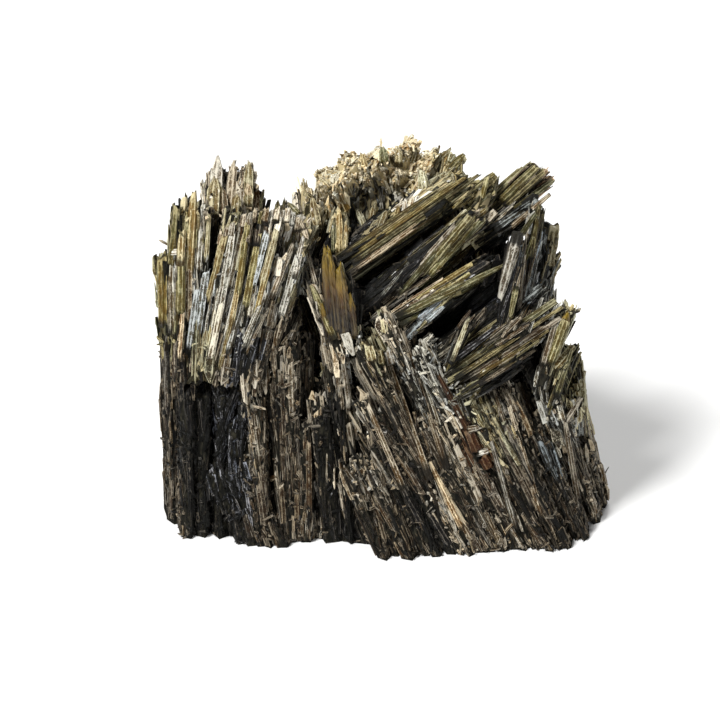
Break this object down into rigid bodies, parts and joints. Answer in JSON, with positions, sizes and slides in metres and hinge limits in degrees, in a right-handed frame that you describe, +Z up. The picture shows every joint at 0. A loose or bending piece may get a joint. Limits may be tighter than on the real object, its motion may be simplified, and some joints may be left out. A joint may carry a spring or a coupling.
{
  "type": "epidote crystal cluster",
  "caption": "Mineral specimen: intergrown sheaves of dark olive, striated prismatic crystals, standing on a flat cut base.",
  "frame": {"origin": "middle of the flat cut base, under the middle of the specimen's box", "axes": "+X along the broad face, with the buttress of upright crystals at -X; -Y out of the broad face; +Z up"},
  "size_m": [0.0635, 0.0373, 0.0506],
  "materials": {
    "epidote": "Dark olive to black-green epidote: finely striated lengthwise, glassy on fresh crystal faces, dull cream and tan on broken edges and tips, honey gold where thin."
  },
  "bodies": {
    "root": {"epidote_cluster": "epidote"}
  },
  "joints": []
}
